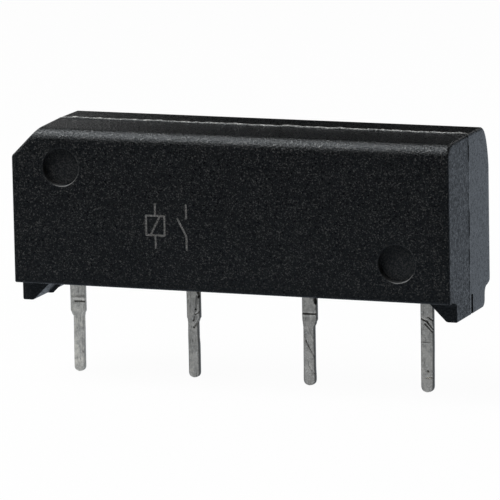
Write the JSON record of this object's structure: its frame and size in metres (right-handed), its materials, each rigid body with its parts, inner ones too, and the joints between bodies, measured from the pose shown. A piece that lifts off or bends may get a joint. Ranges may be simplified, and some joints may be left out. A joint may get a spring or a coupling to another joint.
{
  "type": "reed relay",
  "caption": "Black moulded single-in-line reed relay with two standoff feet and a row of flat tinned leads, with its reed switch, bobbin and winding inside.",
  "frame": {"origin": "middle of the row of leads, in the plane on which the two feet stand", "axes": "+X along the row from lead 1 to lead 4, +Y from the front face to the back face, +Z away from the board"},
  "size_m": [0.019, 0.0052, 0.0108],
  "materials": {
    "black_epoxy": "spark-eroded matte black",
    "tinned_lead": "dull tin plate, scratched",
    "switch_glass": "clear green-tinted glass",
    "nickel_iron": "drawn and pressed wire",
    "bobbin_plastic": "natural filled plastic",
    "enamelled_copper": "enamelled copper wire in layers",
    "lead_out_copper": "bare copper wire"
  },
  "bodies": {
    "moulding": {"moulded_body": "black_epoxy", "lead_1": "tinned_lead", "lead_2": "tinned_lead", "lead_3": "tinned_lead", "lead_4": "tinned_lead", "glass_envelope": "switch_glass", "bobbin": "bobbin_plastic", "coil_winding": "enamelled_copper", "coil_start_wire": "lead_out_copper", "coil_finish_wire": "lead_out_copper"},
    "left_reed": {"reed_left": "nickel_iron"},
    "right_reed": {"reed_right": "nickel_iron"}
  },
  "joints": [
    {"name": "reed_left_flex", "type": "hinge", "parent": "moulding", "child": "left_reed", "pos_m": [-0.0053, 0, 0.00435], "axis": [0, 1, 0], "range_deg": [0, 0.3], "stiffness_Nm_per_rad": 0.12},
    {"name": "reed_right_flex", "type": "hinge", "parent": "moulding", "child": "right_reed", "pos_m": [0.0053, 0, 0.00435], "axis": [0, 1, 0], "range_deg": [0, 0.3]}
  ],
  "couplings": [
    {"joint": "reed_right_flex", "follows": "reed_left_flex", "ratio": 1}
  ]
}
